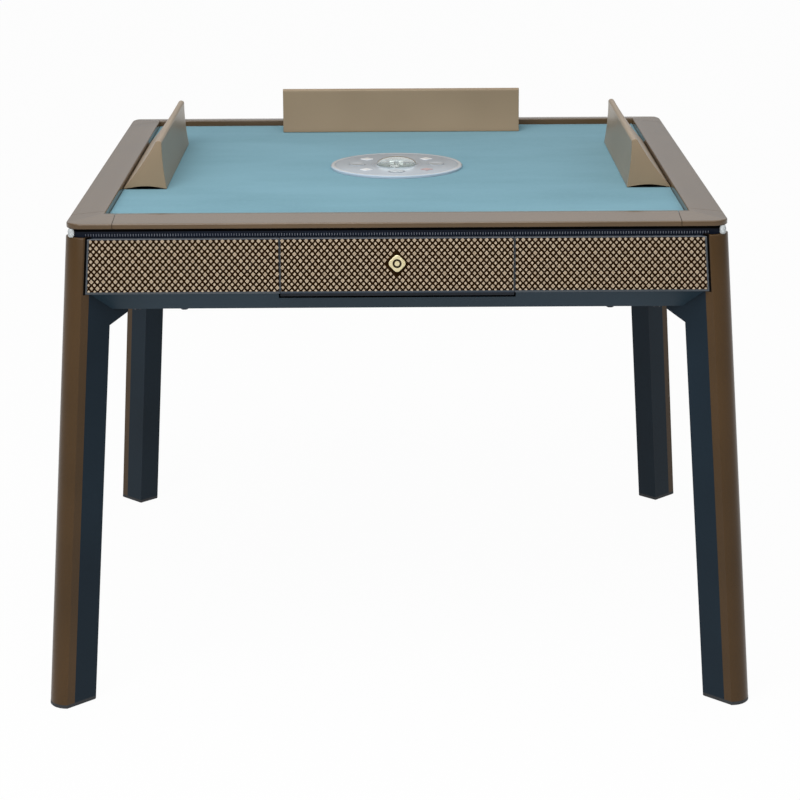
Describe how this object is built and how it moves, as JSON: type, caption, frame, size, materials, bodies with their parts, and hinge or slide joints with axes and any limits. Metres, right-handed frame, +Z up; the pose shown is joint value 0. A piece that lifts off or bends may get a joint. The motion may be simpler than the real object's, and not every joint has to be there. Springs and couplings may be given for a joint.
{
  "type": "mahjong table",
  "caption": "Square tile-game table with a felt top, splayed legs, a drawer in each side, loose tile racks and a round control disc that lifts off a tile well above a shuffling drum.",
  "frame": {"origin": "middle of the table's outline on the floor", "axes": "+Z up; -Y is the front, the side that the picture shows and that has no rack; +X to the right seen from the front"},
  "size_m": [1.1026, 1.1026, 0.8395],
  "materials": {
    "rail": "satin bronze",
    "board": "bare board",
    "felt": "napped",
    "navy_metal": "matt",
    "ribbed_trim": "fine ribs",
    "clear_spacer": "clear",
    "slate": "satin",
    "leg_cover": "satin bronze",
    "foot": "matt",
    "screw": "dull",
    "channel_steel": "bare",
    "panel": "patterned facing",
    "drawer_box": "matt",
    "badge": "satin",
    "rack": "satin",
    "disc": "satin",
    "dice_cover": "clear",
    "dice": "polished",
    "lens": "frosted",
    "button": "satin",
    "drum": "matt",
    "wheel": "matt",
    "motor": "bare",
    "inlet": "matt"
  },
  "bodies": {
    "table": {"rail_front": "rail", "rail_right": "rail", "rail_back": "rail", "rail_left": "rail", "rail_corner_back_right": "rail", "rail_corner_back_left": "rail", "rail_corner_front_left": "rail", "rail_corner_front_right": "rail", "playing_board": "board", "felt_mat": "felt", "upper_frame": "navy_metal", "chassis_corners": "navy_metal", "leg_brackets": "navy_metal", "ribbed_strips": "ribbed_trim", "corner_spacers": "clear_spacer", "base_pan": "slate", "leg_post_back_right": "slate", "leg_post_back_left": "slate", "leg_post_front_left": "slate", "leg_post_front_right": "slate", "leg_cover_back_right": "leg_cover", "leg_cover_back_left": "leg_cover", "leg_cover_front_left": "leg_cover", "leg_cover_front_right": "leg_cover", "leg_feet": "foot", "frame_screws": "screw", "drawer_channels": "channel_steel", "lift_column": "channel_steel", "side_panels_front": "panel", "side_panels_right": "panel", "side_panels_back": "panel", "side_panels_left": "panel", "drum_motor": "motor", "power_inlet": "inlet"},
    "front_drawer": {"drawer_face_front": "panel", "drawer_box_front": "drawer_box", "drawer_badge_front": "badge"},
    "right_drawer": {"drawer_face_right": "panel", "drawer_box_right": "drawer_box", "drawer_badge_right": "badge"},
    "back_drawer": {"drawer_face_back": "panel", "drawer_box_back": "drawer_box", "drawer_badge_back": "badge"},
    "left_drawer": {"drawer_face_left": "panel", "drawer_box_left": "drawer_box", "drawer_badge_left": "badge"},
    "right_rack": {"tile_rack_right": "rack"},
    "back_rack": {"tile_rack_back": "rack"},
    "left_rack": {"tile_rack_left": "rack"},
    "centre_disc": {"control_disc": "disc", "lift_rod": "channel_steel", "dice_cover": "dice_cover", "dice": "dice", "direction_lenses": "lens"},
    "front_button": {"disc_button_front": "button"},
    "right_button": {"disc_button_right": "button"},
    "back_button": {"disc_button_back": "button"},
    "left_button": {"disc_button_left": "button"},
    "shuffling_drum": {"tile_drum": "drum"},
    "friction_wheel": {"drive_wheel": "wheel"}
  },
  "joints": [
    {"name": "front_drawer_slide", "type": "slide", "parent": "table", "child": "front_drawer", "axis": [0, -1, 0], "range_m": [0, 0.15]},
    {"name": "right_drawer_slide", "type": "slide", "parent": "table", "child": "right_drawer", "axis": [1, 0, 0], "range_m": [0, 0.15]},
    {"name": "back_drawer_slide", "type": "slide", "parent": "table", "child": "back_drawer", "axis": [0, 1, 0], "range_m": [0, 0.15]},
    {"name": "left_drawer_slide", "type": "slide", "parent": "table", "child": "left_drawer", "axis": [-1, 0, 0], "range_m": [0, 0.15]},
    {"name": "right_rack_lift_off", "type": "slide", "parent": "table", "child": "right_rack", "axis": [0, 0, 1], "range_m": [0, 0.15]},
    {"name": "back_rack_lift_off", "type": "slide", "parent": "table", "child": "back_rack", "axis": [0, 0, 1], "range_m": [0, 0.15]},
    {"name": "left_rack_lift_off", "type": "slide", "parent": "table", "child": "left_rack", "axis": [0, 0, 1], "range_m": [0, 0.15]},
    {"name": "disc_lift", "type": "slide", "parent": "table", "child": "centre_disc", "axis": [0, 0, 1], "range_m": [0, 0.06]},
    {"name": "front_button_press", "type": "slide", "parent": "centre_disc", "child": "front_button", "axis": [0, 0, -1], "range_m": [0, 0.0012], "stiffness_N_per_m": 500, "springref_m": -0.002},
    {"name": "right_button_press", "type": "slide", "parent": "centre_disc", "child": "right_button", "axis": [0, 0, -1], "range_m": [0, 0.0012], "stiffness_N_per_m": 500, "springref_m": -0.002},
    {"name": "back_button_press", "type": "slide", "parent": "centre_disc", "child": "back_button", "axis": [0, 0, -1], "range_m": [0, 0.0012], "stiffness_N_per_m": 500, "springref_m": -0.002},
    {"name": "left_button_press", "type": "slide", "parent": "centre_disc", "child": "left_button", "axis": [0, 0, -1], "range_m": [0, 0.0012], "stiffness_N_per_m": 500, "springref_m": -0.002},
    {"name": "drum_spin", "type": "hinge", "parent": "table", "child": "shuffling_drum", "pos_m": [0, 0, 0.66], "axis": [0, 0, 1], "continuous": true},
    {"name": "wheel_spin", "type": "hinge", "parent": "table", "child": "friction_wheel", "pos_m": [0.20174, 0.20174, 0.655], "axis": [0, 0, 1], "continuous": true}
  ],
  "couplings": [
    {"joint": "wheel_spin", "follows": "drum_spin", "ratio": -13.25}
  ]
}
